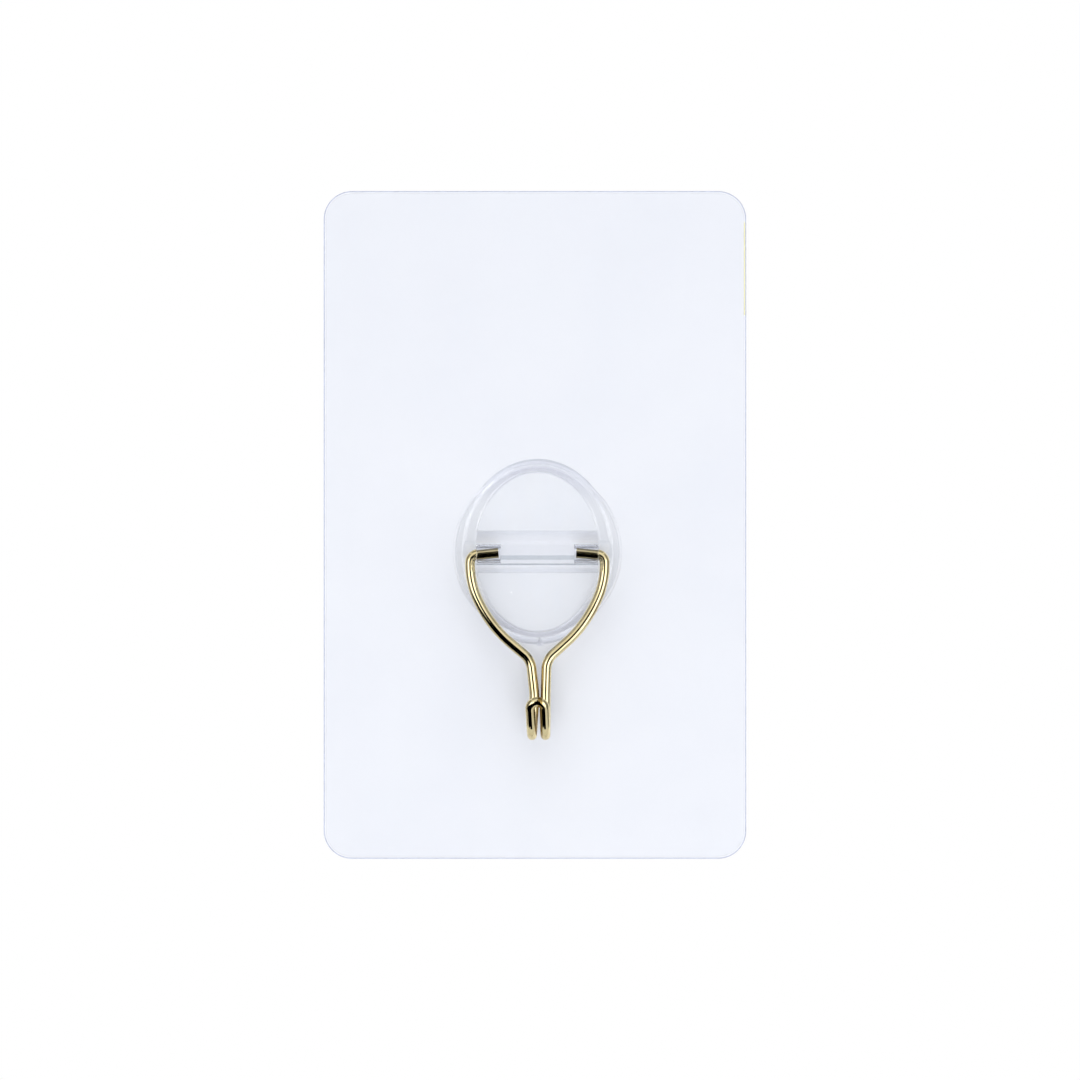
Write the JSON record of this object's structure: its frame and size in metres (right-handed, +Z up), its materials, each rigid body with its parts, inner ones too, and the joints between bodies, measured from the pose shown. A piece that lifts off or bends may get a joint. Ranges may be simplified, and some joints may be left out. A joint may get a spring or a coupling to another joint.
{
  "type": "adhesive wreath hanger",
  "caption": "Clear self-adhesive wall pad with a moulded oval base whose cross barrel carries a swinging gold wire hook for a wreath.",
  "frame": {"origin": "centre of the adhesive layer's back face, the face that meets the wall once the release liner is off", "axes": "+Z up along the pad's long side, +X to the right for someone facing the hook, +Y out of the adhesive face into the wall"},
  "size_m": [0.06, 0.0136, 0.0948],
  "materials": {
    "milky_film": "satin",
    "yellow_film": "satin",
    "clear_adhesive": "gloss",
    "clear_sheet": "gloss",
    "clear_moulding": "polished",
    "gold_wire": "polished"
  },
  "bodies": {
    "pad": {"adhesive_layer": "clear_adhesive", "pad_sheet": "clear_sheet", "base_bond": "clear_adhesive", "hook_base": "clear_moulding"},
    "hook": {"wire_hook": "gold_wire"},
    "liner": {"release_liner": "milky_film", "peel_tab": "yellow_film"}
  },
  "joints": [
    {"name": "hook_swing", "type": "hinge", "parent": "pad", "child": "hook", "pos_m": [0.00034, -0.00473, -0.004], "axis": [-1, 0, 0], "range_deg": [0, 165]},
    {"name": "liner_peel", "type": "slide", "parent": "pad", "child": "liner", "axis": [0, 1, 0], "range_m": [0, 0.02]}
  ]
}
